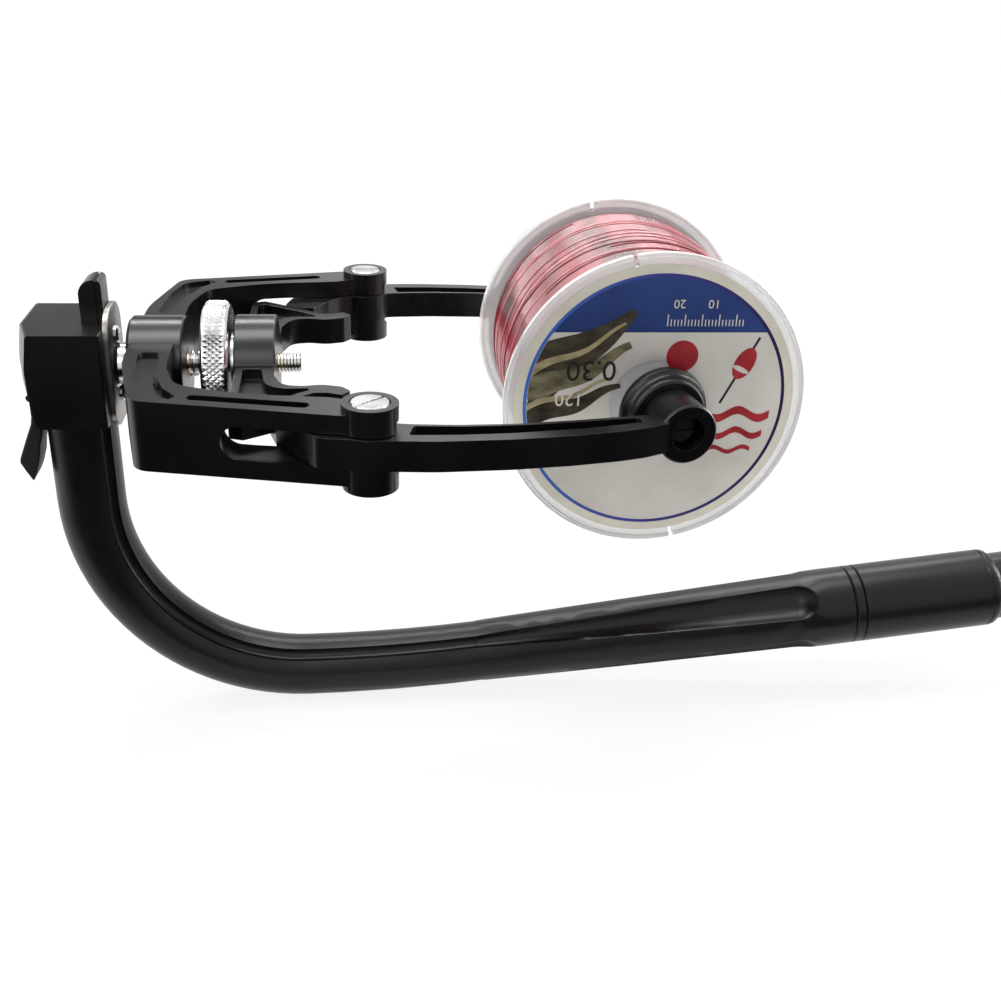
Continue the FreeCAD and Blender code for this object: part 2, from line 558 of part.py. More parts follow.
def make_knurled_wheel():
    low, high = WHEEL_X
    rim = WHEEL_R
    floor = low + WHEEL_RECESS_DEPTH
    profile = [(floor, STUD_R + RUNNING_FIT), (floor, WHEEL_RECESS_R), (low, WHEEL_RECESS_R),
               (low, rim - WHEEL_CHAMFER), (low + WHEEL_CHAMFER, rim),
               (high - WHEEL_CHAMFER, rim), (high, rim - WHEEL_CHAMFER), (high, STUD_R + RUNNING_FIT)]
    return turned(profile, ORIGIN, X_AXIS, Y_AXIS)


def make_slider_bracket():
    half = prism(BRACKET_PLAN, -BRACKET_HALF_HEIGHT, BRACKET_HALF_HEIGHT)
    cuts = []
    for top in (1, -1):
        low, high = sorted((top * BRACKET_WEB / 2, top * (BRACKET_HALF_HEIGHT + 1)))
        cuts.append(prism(BRACKET_POCKET, low, high))
    half = half.cut(cuts)
    low, high = SLIDER_BOSS_X
    boss = turned([(low, 0), (low, SLIDER_BOSS_R - 0.4), (low + 0.4, SLIDER_BOSS_R), (high - 0.4, SLIDER_BOSS_R),
                   (high, SLIDER_BOSS_R - 0.4), (high, 0)], ORIGIN, X_AXIS, Y_AXIS)
    bracket = joined([boss] + both_sides(half))
    return bracket.cut(cylinder(ORIGIN, X_AXIS, BUSH_R, STUD_END_X + 10))


# ---- Finger, axle and plug on the +Y side ----

def leaning(shape):
    """Shape drawn about the spool's axis on the +Y side, leant over with the open finger."""
    leant = shape.copy()
    leant.rotate(V(SPOOL_X, TILT_Y, 0), Z_AXIS, -TILT_DEG)
    return leant


def make_finger():
    top = FINGER_HALF_HEIGHT
    hub = at_pivot((-top, top), HUB_R)
    bar = prism(FINGER_OUTER + FINGER_INNER, -top, top)
    end = V(SPOOL_X, END_BOSS_Y[0], 0)
    boss = turned([(END_BOSS_Y[0], 0), (END_BOSS_Y[0], END_BOSS_R), (END_BOSS_Y[1] - 0.5, END_BOSS_R),
                   (END_BOSS_Y[1], END_BOSS_R - 0.5), (END_BOSS_Y[1], 0)], V(SPOOL_X, 0, 0), Y_AXIS, Z_AXIS)
    finger = joined([hub, bar, leaning(boss)])
    counterbore = cylinder(V(SPOOL_X, COUNTERBORE_FLOOR_Y, 0), Y_AXIS, COUNTERBORE_R, 15)
    cuts = [at_pivot((-top, top), PIVOT_R + RUNNING_FIT), leaning(counterbore),
            leaning(cylinder(end, Y_AXIS, AXLE_R, 10))]
    for side in (1, -1):
        low, high = sorted((side * FINGER_WEB / 2, side * (top + 1)))
        cuts.append(prism(FINGER_POCKET, low, high))
    return finger.cut(cuts)


def make_axle():
    """Shoulder screw whose head sits in the finger's counterbore."""
    head_top = COUNTERBORE_FLOOR_Y + AXLE_HEAD_H
    profile = [(AXLE_END_Y, 0), (AXLE_END_Y, AXLE_R - 0.4), (AXLE_END_Y + 0.4, AXLE_R),
               (COUNTERBORE_FLOOR_Y, AXLE_R), (COUNTERBORE_FLOOR_Y, AXLE_HEAD_R),
               (head_top - 0.5, AXLE_HEAD_R), (head_top, AXLE_HEAD_R - 0.5), (head_top, 0)]
    screw = turned(profile, V(SPOOL_X, 0, 0), Y_AXIS, Z_AXIS)
    slot = block((SPOOL_X - AXLE_HEAD_R, head_top - 1.0, -0.5), (SPOOL_X + AXLE_HEAD_R, head_top, 0.5))
    return leaning(screw.cut(slot))


def make_plug():
    return leaning(turned(PLUG_PROFILE, V(SPOOL_X, 0, 0), Y_AXIS, Z_AXIS))


# ---- Spool, drawn for the +Y side ----

def make_flange():
    face = SPOOL_HALF_WIDTH
    inner = face - FLANGE_WALL
    profile = [(inner - HUB_SOCKET_DEPTH, HUB_BORE_R), (inner - HUB_SOCKET_DEPTH, HUB_SOCKET_R),
               (inner, HUB_SOCKET_R), (inner, FLANGE_R - RIM_BEAD), (inner - RIM_BEAD_PROUD, FLANGE_R - RIM_BEAD),
               (inner - RIM_BEAD_PROUD, FLANGE_R - 0.3), (face + RIM_BEAD_PROUD, FLANGE_R),
               (face + RIM_BEAD_PROUD, FLANGE_R - RIM_BEAD), (face, FLANGE_R - RIM_BEAD), (face, HUB_BORE_R)]
    flange = turned(profile, V(SPOOL_X, 0, 0), Y_AXIS, Z_AXIS)
    notches = []
    for angle in (-78, 102):
        notch = block((SPOOL_X + FLANGE_R - RIM_NOTCH_DEPTH, inner - 2, -RIM_NOTCH_WIDTH / 2),
                      (SPOOL_X + FLANGE_R + 1, face + 2, RIM_NOTCH_WIDTH / 2))
        notch.rotate(V(SPOOL_X, 0, 0), Y_AXIS, -angle)
        notches.append(notch)
    return flange.cut(notches)


def spool_ring(outer, inner, low, high):
    start = V(SPOOL_X, low, 0)
    length = high - low
    return cylinder(start, Y_AXIS, outer, length).cut(cylinder(start, Y_AXIS, inner, length))


def make_winding():
    """Line wound on the core, slightly crowned."""
    half = WINDING_HALF_WIDTH
    crown = [(-half, CORE_R), (-half, WINDING_R - 0.9), (-half + 4, WINDING_R), (half - 4, WINDING_R),
             (half, WINDING_R - 0.9), (half, CORE_R)]
    return turned(crown, V(SPOOL_X, 0, 0), Y_AXIS, Z_AXIS)


def make_nodes():
    core_half = SPOOL_HALF_WIDTH - FLANGE_WALL
    finger = make_finger()
    axle = make_axle()
    plug = make_plug()
    flange = make_flange()
    label = spool_ring(LABEL_R, LABEL_HOLE_R, SPOOL_HALF_WIDTH, SPOOL_HALF_WIDTH + LABEL_THICKNESS)
    washer_bore = STUD_R + 0.1
    return {
        "j_arm": make_j_arm(),
        "butt_sleeve": make_butt_sleeve(),
        "butt_cap": make_butt_cap(),
        "saddle_block": make_saddle_block(),
        "rod_strap": make_rod_strap(),
        "strap_pin": make_strap_pin(),
        "strap_hook": make_strap_hook(),
        "flange_plate": make_flange_plate(),
        "flange_screws": make_flange_screws(),
        "stud": make_stud(),
        "drag_spring": make_drag_spring(),
        "yoke_frame": make_yoke_frame(),
        "yoke_bush": tube_x(YOKE_BOSS_X, BUSH_R, STUD_R + RUNNING_FIT),
        "pivot_screws": make_pivot_screws(),
        "pivot_nuts": make_pivot_nuts(),
        "finger_springs": make_finger_springs(),
        "knurled_wheel": make_knurled_wheel(),
        "thrust_washer": tube_x(THRUST_WASHER_X, THRUST_WASHER_R, washer_bore),
        "slider_bracket": make_slider_bracket(),
        "slider_bush": tube_x(SLIDER_BOSS_X, BUSH_R, STUD_R + RUNNING_FIT),
        "far_finger": finger,
        "near_finger": mirrored(finger),
        "far_axle": axle,
        "near_axle": mirrored(axle),
        "far_plug": plug,
        "near_plug": mirrored(plug),
        "spool_core": spool_ring(CORE_R, CORE_R - CORE_WALL, -core_half, core_half),
        "far_flange": flange,
        "near_flange": mirrored(flange),
        "line_winding": make_winding(),
        "far_label": label,
        "near_label": mirrored(label),
    }


def export(nodes):
    os.makedirs("parts", exist_ok=True)
    for name, shape in nodes.items():
        solids = shape if isinstance(shape, list) else [shape]
        solids = [solid for group in solids for solid in group.Solids]
        compound = solids[0] if len(solids) == 1 else Part.makeCompound(solids)
        if not compound.isValid():
            raise RuntimeError(name + " is not a valid solid")
        compound.exportStep("parts/" + name + ".step")
        print(name, len(solids), round(compound.Volume, 1))


export(make_nodes())
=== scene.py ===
"""Fishing line winder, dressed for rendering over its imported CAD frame. Metres, +Z up, X along the stud."""
import json
import math
import random

import bmesh
import bpy
from mathutils import Matrix, Vector


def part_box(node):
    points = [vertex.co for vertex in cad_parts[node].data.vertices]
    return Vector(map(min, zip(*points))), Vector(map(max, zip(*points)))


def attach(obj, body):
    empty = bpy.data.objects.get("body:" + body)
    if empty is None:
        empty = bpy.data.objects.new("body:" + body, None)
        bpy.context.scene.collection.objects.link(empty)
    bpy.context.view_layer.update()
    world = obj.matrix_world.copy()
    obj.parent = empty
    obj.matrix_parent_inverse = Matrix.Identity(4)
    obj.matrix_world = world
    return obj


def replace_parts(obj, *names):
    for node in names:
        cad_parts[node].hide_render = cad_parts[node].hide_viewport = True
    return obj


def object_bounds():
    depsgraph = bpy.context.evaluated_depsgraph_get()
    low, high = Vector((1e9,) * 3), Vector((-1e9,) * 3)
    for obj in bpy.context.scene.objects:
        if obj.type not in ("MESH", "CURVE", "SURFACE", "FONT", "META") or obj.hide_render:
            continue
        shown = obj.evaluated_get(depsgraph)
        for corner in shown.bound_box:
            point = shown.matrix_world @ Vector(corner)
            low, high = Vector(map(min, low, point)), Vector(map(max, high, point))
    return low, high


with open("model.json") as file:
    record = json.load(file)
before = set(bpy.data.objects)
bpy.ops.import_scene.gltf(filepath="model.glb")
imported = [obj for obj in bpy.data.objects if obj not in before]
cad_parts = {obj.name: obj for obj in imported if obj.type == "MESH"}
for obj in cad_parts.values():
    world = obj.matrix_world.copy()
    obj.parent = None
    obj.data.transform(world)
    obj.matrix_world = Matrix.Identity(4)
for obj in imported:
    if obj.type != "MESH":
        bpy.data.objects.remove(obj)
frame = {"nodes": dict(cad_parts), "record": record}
cad_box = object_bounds()
nodes = frame["nodes"]
scene = bpy.context.scene
scene.view_settings.view_transform = "Standard"
MM = 0.001
FULL_TURN = 2 * math.pi
AXIS_X = Vector((1, 0, 0))
AXIS_Y = Vector((0, 1, 0))
AXIS_Z = Vector((0, 0, 1))
SPOOL_AXIS = Vector((0.186, 0, 0))
# radius in millimetres of the holes that the M6 stud passes through
STUD_HOLE_R = 3.05
# distances in metres within which points are joined: in a CAD mesh, at a lathe's seam, after a bevel, at a cut
MESH_JOIN, SEAM_JOIN, BEVEL_JOIN, CUT_JOIN = 2e-6, 1e-7, 1e-6, 4e-6
# triangles that lie within this angle of each other become one face
FLAT_DEG = 1.0
# edges sharper than this are rounded
ROUND_FROM_DEG = 40
ALL_SMOOTH_DEG = 180


# ---- Materials ----

def colour(code):
    """Linear RGBA from an sRGB hex value."""
    channels = [int(code[i:i + 2], 16) / 255 for i in (0, 2, 4)]
    linear = [c / 12.92 if c <= 0.04045 else ((c + 0.055) / 1.055) ** 2.4 for c in channels]
    return (*linear, 1.0)


def add_node(tree, kind, values=None, links=None, **settings):
    """Adds a shader node with its settings, its inputs' values and the sources linked to its inputs."""
    made = tree.nodes.new(kind)
    for name, value in settings.items():
        setattr(made, name, value)
    for socket, value in (values or {}).items():
        made.inputs[socket].default_value = value
    for socket, source in (links or {}).items():
        tree.links.new(source, made.inputs[socket])
    return made


def new_material(name):
    """Material with its tree, its output node and Object coordinates."""
    material = bpy.data.materials.new(name)
    material.use_nodes = True
    tree = material.node_tree
    tree.nodes.clear()
    out = tree.nodes.new("ShaderNodeOutputMaterial")
    place = tree.nodes.new("ShaderNodeTexCoord").outputs["Object"]
    return material, tree, out, place


def finish(name, light, dark, rough, grain_mm, depth_mm, patch_mm=18.0, stretch=(1, 1, 1), **shader):
    """Surface whose colour and roughness drift in patches and whose grain is raised by a fine bump."""
    material, tree, out, place = new_material(name)
    pulled = add_node(tree, "ShaderNodeMapping", {"Scale": stretch}, {"Vector": place}).outputs["Vector"]
    patches = add_node(tree, "ShaderNodeTexNoise", {"Scale": 1000 / patch_mm, "Detail": 3.0}, {"Vector": pulled})
    grain = add_node(tree, "ShaderNodeTexNoise", {"Scale": 1000 / grain_mm, "Detail": 2.0}, {"Vector": place})
    spread = add_node(tree, "ShaderNodeMapRange", {"From Min": 0.3, "From Max": 0.7},
                      {"Value": patches.outputs["Fac"]})
    tint = add_node(tree, "ShaderNodeMix", {6: colour(dark), 7: colour(light)}, {0: spread.outputs["Result"]},
                    data_type="RGBA")
    polish = add_node(tree, "ShaderNodeMapRange", {"To Min": rough[0], "To Max": rough[1]},
                      {"Value": patches.outputs["Fac"]})
    bump = add_node(tree, "ShaderNodeBump", {"Strength": 1.0, "Distance": depth_mm * MM},
                    {"Height": grain.outputs["Fac"]})
    body = add_node(tree, "ShaderNodeBsdfPrincipled", shader,
                    {"Base Color": tint.outputs[2], "Roughness": polish.outputs["Result"],
                     "Normal": bump.outputs["Normal"]})
    tree.links.new(body.outputs["BSDF"], out.inputs["Surface"])
    return material


# glass-filled nylon, injection moulded: deep black with a satin, faintly pebbled skin
moulded_nylon = finish("moulded_nylon", "09090a", "050506", (0.24, 0.33), 0.5, 0.006, IOR=1.53,
                       **{"Specular IOR Level": 0.42})
# die-cast aluminium under satin black stove enamel: smooth, with long soft highlights
enamelled_aluminium = finish("enamelled_aluminium", "09090a", "050506", (0.3, 0.38), 1.4, 0.006, IOR=1.5,
                             **{"Specular IOR Level": 0.28})
# lathe-turned black acetal: smooth, slightly shinier than the nylon
black_acetal = finish("black_acetal", "0f0f12", "0a0a0c", (0.26, 0.34), 0.8, 0.004, IOR=1.48,
                      **{"Specular IOR Level": 0.35})
# moulded natural rubber: matt charcoal with a dusty skin
black_rubber = finish("black_rubber", "131314", "0c0c0d", (0.5, 0.62), 0.3, 0.015, IOR=1.52,
                      **{"Specular IOR Level": 0.3})
# zinc-plated steel, turned: bright silver with a fine machining haze
zinc_plated_steel = finish("zinc_plated_steel", "e6e6e4", "c2c2c2", (0.16, 0.26), 0.35, 0.004, 6.0, Metallic=1.0)
# stamped zinc-plated plate: greyer and hazier than the turned parts
zinc_plated_sheet = finish("zinc_plated_sheet", "9c9894", "7d7976", (0.3, 0.42), 0.5, 0.006, 5.0, Metallic=1.0)
# blackened steel screw: near black with a soft metal gleam, its black partly the steel's own and partly painted shade
# of the deep bores where it sits
blackened_steel_bore_shade = finish("blackened_steel_bore_shade", "141416", "0c0c0e", (0.34, 0.44), 0.4, 0.004, 6.0, Metallic=0.3)
# sintered bronze bush: dull brown-gold and porous
sintered_bronze = finish("sintered_bronze", "b08a54", "8d6b3d", (0.38, 0.5), 0.3, 0.01, 5.0, Metallic=1.0)
# milky polystyrene, injection moulded: lets light through, hides what lies behind, with faint flow ripples
milky_polystyrene = finish("milky_polystyrene", "fafafa", "f1f1f0", (0.07, 0.13), 4.0, 0.004, IOR=1.49,
                           **{"Transmission Weight": 0.5})
# white polystyrene, injection moulded
white_polystyrene = finish("white_polystyrene", "e9eaec", "d8dadd", (0.25, 0.35), 1.0, 0.006, IOR=1.49)
# dyed nylon monofilament, with broad darker bands of painted shade that run across the strands
monofilament = finish("monofilament", "ab525a", "35120f", (0.12, 0.2), 0.9, 0.006, 12.0, (1.0, 0.22, 1.0),
                      IOR=1.53, **{"Coat Weight": 0.8, "Coat Roughness": 0.1})
# strands on top of the others get a paler colour, a painted highlight for the light they catch
strand_painted_highlight = finish("strand_painted_highlight", "c87a7e", "9c454c", (0.12, 0.2), 0.9, 0.004, 6.0, IOR=1.53,
                     **{"Coat Weight": 1.0, "Coat Roughness": 0.1})
# a few strands lie cleaner and look darker red
red_strand = finish("red_strand", "8a2630", "5c1820", (0.14, 0.24), 0.9, 0.004, 6.0, IOR=1.53)
# printed paper label under a film: satin, warm off-white with a trace of mottling
label_paper = finish("label_paper", "c6c2bb", "bab5ae", (0.3, 0.38), 0.6, 0.002, 14.0, IOR=1.5)
label_cream = finish("label_cream", "cfcabc", "c2bdae", (0.3, 0.38), 0.6, 0.002, 10.0, IOR=1.5)
label_blue = finish("label_blue", "1c3878", "182f68", (0.28, 0.36), 0.6, 0.002, 16.0, IOR=1.5)
label_red = finish("label_red", "a81c28", "85131d", (0.28, 0.36), 0.6, 0.002, 7.0, IOR=1.5)
label_sand = finish("label_sand", "a89c78", "7f7555", (0.28, 0.36), 0.8, 0.002, 5.0, (1, 1, 2.2), IOR=1.5)
label_ink = finish("label_ink", "1d1b1c", "121112", (0.28, 0.36), 0.6, 0.002, 7.0, IOR=1.5)
label_olive = finish("label_olive", "7b7358", "4a4534", (0.28, 0.36), 0.8, 0.002, 5.0, (1, 1, 2.2), IOR=1.5)
label_umber = finish("label_umber", "4b4334", "241f18", (0.28, 0.36), 0.8, 0.002, 6.0, (1, 1, 2.2), IOR=1.5)


def ring_print():
    """Printed ring on the label that runs from bright blue on one side to dark violet on the other."""
    material, tree, out, place = new_material("label_ring")
    across = add_node(tree, "ShaderNodeSeparateXYZ", links={0: place}).outputs["X"]
    span = add_node(tree, "ShaderNodeMapRange", {"From Min": 0.150, "From Max": 0.222}, {"Value": across})
    fade = add_node(tree, "ShaderNodeValToRGB", links={"Fac": span.outputs["Result"]})
    fade.color_ramp.elements[0].color = colour("2f62b4")
    fade.color_ramp.elements[1].color = colour("1b1546")
    middle = fade.color_ramp.elements.new(0.5)
    middle.color = colour("352f80")
    body = add_node(tree, "ShaderNodeBsdfPrincipled", {"Roughness": 0.3}, {"Base Color": fade.outputs["Color"]})
    tree.links.new(body.outputs["BSDF"], out.inputs["Surface"])
    return material


label_ring = ring_print()

SKINS = {
    "j_arm": enamelled_aluminium, "butt_sleeve": enamelled_aluminium, "butt_cap": black_acetal,
    "saddle_block": moulded_nylon, "rod_strap": black_rubber, "strap_pin": zinc_plated_steel,
    "strap_hook": moulded_nylon, "flange_plate": zinc_plated_sheet, "flange_screws": zinc_plated_steel,
    "stud": zinc_plated_steel, "drag_spring": zinc_plated_steel, "yoke_frame": moulded_nylon,
    "yoke_bush": sintered_bronze, "pivot_screws": zinc_plated_steel, "pivot_nuts": zinc_plated_steel,
    "finger_springs": zinc_plated_steel, "knurled_wheel": zinc_plated_steel, "thrust_washer": zinc_plated_steel,
    "slider_bracket": moulded_nylon, "slider_bush": sintered_bronze, "near_finger": moulded_nylon,
    # the axles' near-black steel is partly painted shade of the bores they sit in
    "far_finger": moulded_nylon, "near_axle": blackened_steel_bore_shade, "far_axle": blackened_steel_bore_shade, "near_plug": black_acetal,
    "far_plug": black_acetal, "spool_core": white_polystyrene, "near_flange": milky_polystyrene,
    "far_flange": milky_polystyrene, "line_winding": monofilament, "near_label": label_paper,
    "far_label": label_paper,
}


for node_name, skin in SKINS.items():
    nodes[node_name].data.materials.clear()
    nodes[node_name].data.materials.append(skin)


# ---- Making pieces ----

def piece_from(shape, name, body, materials, smooth_deg=35):
    """Turns a bmesh into a finished piece that rides on a body."""
    mesh = bpy.data.meshes.new(name)
    bmesh.ops.recalc_face_normals(shape, faces=shape.faces)
    if shape.calc_volume(signed=True) < 0:
        bmesh.ops.reverse_faces(shape, faces=shape.faces)
    shape.to_mesh(mesh)
    shape.free()
    piece = bpy.data.objects.new(name, mesh)
    scene.collection.objects.link(piece)
    mesh.shade_smooth()
    mesh.set_sharp_from_angle(angle=math.radians(smooth_deg))
    for material in materials:
        mesh.materials.append(material)
    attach(piece, body)
    return piece


def body_of(node_name):
    """The moving body that a node belongs to."""
    for body, members in frame["record"]["behaviour"]["bodies"].items():
        if node_name in members:
            return body


def new_verts(made):
    """The vertices among the parts that an extrusion has made."""
    return [item for item in made["geom"] if isinstance(item, bmesh.types.BMVert)]


def thicken(shape, by):
    """Gives a flat shape a thickness, along a vector."""
    made = bmesh.ops.extrude_face_region(shape, geom=shape.faces[:])
    bmesh.ops.translate(shape, verts=new_verts(made), vec=by)


def merged_copy(node_name):
    """The node's own mesh with its loose triangles joined into whole faces."""
    shape = bmesh.new()
    shape.from_mesh(nodes[node_name].data)
    bmesh.ops.remove_doubles(shape, verts=shape.verts, dist=MESH_JOIN)
    bmesh.ops.dissolve_limit(shape, angle_limit=math.radians(FLAT_DEG), verts=shape.verts, edges=shape.edges)
    return shape


def round_edges(piece, edge_mm, from_deg):
    """Rounds a piece's sharper edges, joins the slivers that this leaves and keeps the flat faces flat."""
    rounding = piece.modifiers.new("rounded_edges", "BEVEL")
    rounding.width = edge_mm * MM
    rounding.segments = 2
    rounding.limit_method = "ANGLE"
    rounding.angle_limit = math.radians(from_deg)
    joined = piece.modifiers.new("joined_slivers", "WELD")
    joined.merge_threshold = BEVEL_JOIN
    shading = piece.modifiers.new("flat_faces", "WEIGHTED_NORMAL")
    shading.keep_sharp = False


def rounded_copy(node_name, edge_mm):
    """The node's own shape with its edges rounded, in place of the sharp CAD node."""
    piece = piece_from(merged_copy(node_name), node_name + "_rounded", body_of(node_name), [SKINS[node_name]],
                       ALL_SMOOTH_DEG)
    round_edges(piece, edge_mm, ROUND_FROM_DEG)
    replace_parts(piece, node_name)


def lathe(profile_mm, foot, axis, side, steps, closed=True):
    """Turns a profile of (distance along axis, radius) pairs round an axis."""
    shape = bmesh.new()
    verts = [shape.verts.new(foot + (axis * along + side * radius) * MM) for along, radius in profile_mm]
    pairs = list(zip(verts, verts[1:])) + ([(verts[-1], verts[0])] if closed else [])
    edges = [shape.edges.new(pair) for pair in pairs]
    bmesh.ops.spin(shape, geom=verts + edges, cent=foot, axis=axis, angle=FULL_TURN, steps=steps, use_merge=True)
    bmesh.ops.remove_doubles(shape, verts=shape.verts, dist=SEAM_JOIN)
    return shape


def cut_off(shape, point, outward):
    """Cuts the shape at a plane, drops what lies outward of it and closes the cut."""
    bmesh.ops.bisect_plane(shape, geom=shape.verts[:] + shape.edges[:] + shape.faces[:], plane_co=point,
                           plane_no=outward, clear_outer=True)
    bmesh.ops.remove_doubles(shape, verts=shape.verts, dist=CUT_JOIN)
    rim = [edge for edge in shape.edges if edge.is_boundary]
    bmesh.ops.edgenet_fill(shape, edges=rim)


# ---- Stud, wheel and spring ----

def threaded_stud():
    """M6 rod with its helical ridges, 1 mm apart."""
    low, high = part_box("stud")
    pitch, outer, root, per_turn = 1.0, 3.0, 2.45, 28
    turns = math.ceil((high[0] - low[0]) / MM / pitch) + 1
    shape = bmesh.new()
    start = Vector((low[0] - pitch * MM, 0, 0))
    profile = ((0, root), (0.12, root), (0.46, outer), (0.62, outer), (1.0, root))
    verts = [shape.verts.new(start + Vector((along, 0, radius)) * MM) for along, radius in profile]
    edges = [shape.edges.new(pair) for pair in zip(verts, verts[1:])]
    bmesh.ops.spin(shape, geom=verts + edges, cent=start, axis=AXIS_X, dvec=AXIS_X * (pitch * MM / per_turn),
                   angle=FULL_TURN * turns, steps=per_turn * turns)
    bmesh.ops.remove_doubles(shape, verts=shape.verts, dist=MESH_JOIN)
    cut_off(shape, Vector((low[0], 0, 0)), -AXIS_X)
    cut_off(shape, Vector((high[0], 0, 0)), AXIS_X)
    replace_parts(piece_from(shape, "stud_threaded", "base", [zinc_plated_steel], 60), "stud")


def knurled_rim_wheel():
    """Steel wheel with a diamond knurl pressed into its rim."""
    low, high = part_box("knurled_wheel")
    left, right = low[0] / MM, high[0] / MM
    radius = high[2] / MM
    foot = Vector((0, 0, 0))
    rows, around = 3, 72
    shoulder, groove, ridge, ring_share = 0.7, 0.3, 0.6, 0.93
    band = [(left + shoulder + (right - left - 2 * shoulder) * i / rows, radius - groove) for i in range(rows + 1)]
    shape = lathe(band, foot, AXIS_X, AXIS_Z, around, closed=False)
    old_edges = shape.edges[:]
    bmesh.ops.poke(shape, faces=shape.faces[:], offset=0.0)
    inner = [edge for edge in old_edges if edge.is_valid and not edge.is_boundary]
    bmesh.ops.dissolve_edges(shape, edges=inner)
    bmesh.ops.recalc_face_normals(shape, faces=shape.faces)
    shape.faces.ensure_lookup_table()
    outward = shape.faces[0].normal.dot(Vector((0, *shape.faces[0].calc_center_median().yz)))
    bmesh.ops.poke(shape, faces=[face for face in shape.faces if len(face.verts) == 4],
                   offset=math.copysign(ridge * MM, outward))
    rims = [edge for edge in shape.edges if edge.is_boundary]
    sunk = bmesh.ops.extrude_edge_only(shape, edges=rims)
    bmesh.ops.scale(shape, verts=new_verts(sunk), vec=(1, ring_share, ring_share))
    bmesh.ops.bridge_loops(shape, edges=[edge for edge in shape.edges if edge.is_boundary])
    knurl = piece_from(shape, "wheel_knurl", "wheel", [zinc_plated_steel], 10)
    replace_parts(knurl, "knurled_wheel")
    sides = [(left, STUD_HOLE_R), (left, radius - 1.3), (left + 0.25, radius - 0.9),
             (left + shoulder, radius - groove), (right - shoulder, radius - groove), (right - 0.25, radius - 0.9),
             (right, radius - 1.3), (right, 14.6), (right - 0.3, 14.3), (right - 0.3, STUD_HOLE_R)]
    hub = lathe(sides, foot, AXIS_X, AXIS_Z, 96)
    piece_from(hub, "wheel_body", "wheel", [zinc_plated_steel], 30)


# ---- Flange plate and strap ----

def stamped_flange():
    """Thick stamped plate with rounded ends, which carries the stud's boss."""
    low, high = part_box("flange_plate")
    left, boss_end = low[0] / MM, high[0] / MM
    face, half_width, half_height, corner, blunt = left + 1.6, 10.8, 18.4, 8.0, 0.4
    plate = bmesh.new()
    made = bmesh.ops.create_grid(plate, x_segments=1, y_segments=1, size=0.5)["verts"]
    stand = Matrix.Translation((left, 0, 0)) @ Matrix.Rotation(math.pi / 2, 4, "Y")
    bmesh.ops.transform(plate, verts=made, matrix=stand @ Matrix.Diagonal((2 * half_height, 2 * half_width, 1, 1)))
    thicken(plate, AXIS_X * (face - left))
    across = [edge for edge in plate.edges if abs(edge.verts[0].co.x - edge.verts[1].co.x) > 1]
    bmesh.ops.bevel(plate, geom=across, offset=corner, segments=10, profile=0.5, affect="EDGES", material=-1)
    front = [edge for edge in plate.edges if all(vert.co.x > face - 0.01 for vert in edge.verts)]
    bmesh.ops.bevel(plate, geom=front, offset=blunt, segments=2, profile=0.5, affect="EDGES", material=-1)
    bmesh.ops.scale(plate, verts=plate.verts, vec=(MM, MM, MM))
    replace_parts(piece_from(plate, "flange_stamped", "base", [zinc_plated_sheet], 40), "flange_plate")
    profile = [(face - 0.2, STUD_HOLE_R), (face - 0.2, 7.6), (face + 0.3, 7.1), (face + 0.9, 6.5),
               (boss_end - 0.4, 6.3), (boss_end, 5.9), (boss_end, STUD_HOLE_R)]
    piece_from(lathe(profile, Vector((0, 0, 0)), AXIS_X, AXIS_Z, 64), "flange_boss", "base", [zinc_plated_steel])


def hanging_strap():
    """Rubber strap that leans outward below the block and ends in a skewed point."""
    outline = ((1.3, -7.6), (1.3, -15.5), (0.9, -17.8), (-0.5, -21.2), (-2.5, -26.2), (-3.6, -29.0), (-3.9, -30.6),
               (-2.4, -33.6), (-0.6, -37.0), (0.9, -33.5), (2.1, -29.4), (2.7, -25.3), (3.8, -21.4), (4.4, -17.6),
               (4.4, -7.6))
    shape = bmesh.new()
    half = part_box("rod_strap")[1][1]
    shape.faces.new([shape.verts.new((x * MM, -half, z * MM)) for x, z in outline])
    thicken(shape, AXIS_Y * 2 * half)
    piece = piece_from(shape, "strap_hanging", "base", [black_rubber], ALL_SMOOTH_DEG)
    round_edges(piece, 0.7, 50)
    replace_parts(piece, "rod_strap")


# ---- Spool: winding, label and clear flanges ----

# millimetres: half the winding's width, one strand, the winding's radius, and how it drops near the flanges
WINDING_HALF, STRAND, WINDING_R = 33.2, 0.72, 40.1
DROP_FROM, DROP_RUN, DROP = 29.0, 4.3, 0.8
UNDER_WINDING_R = 22.2
# millimetres: how far the last strands reach, how high they ride on the winding and their radius
LAST_REACH, LAST_LIFT, LAST_R = 31, 0.42, 0.33


def winding_radius(y_mm):
    """The winding is slightly crowned and drops towards the flanges."""
    edge = max(0.0, abs(y_mm) - DROP_FROM) / DROP_RUN
    return WINDING_R - DROP * edge * edge


def wound_line():
    """Line wound side by side, one rounded ridge for each strand."""
    strands = int(2 * WINDING_HALF / STRAND)
    profile = [(-WINDING_HALF, UNDER_WINDING_R)]
    for i in range(strands):
        start = -WINDING_HALF + i * STRAND
        for part, rise in ((0.0, 0.0), (0.25, 0.26), (0.5, 0.36), (0.75, 0.26)):
            along = start + part * STRAND
            profile.append((along, winding_radius(along) + rise))
    profile += [(WINDING_HALF, winding_radius(WINDING_HALF)), (WINDING_HALF, UNDER_WINDING_R)]
    shape = lathe(profile, SPOOL_AXIS, AXIS_Y, AXIS_Z, 128)
    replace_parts(piece_from(shape, "wound_line", "spool", [monofilament], 80), "line_winding")


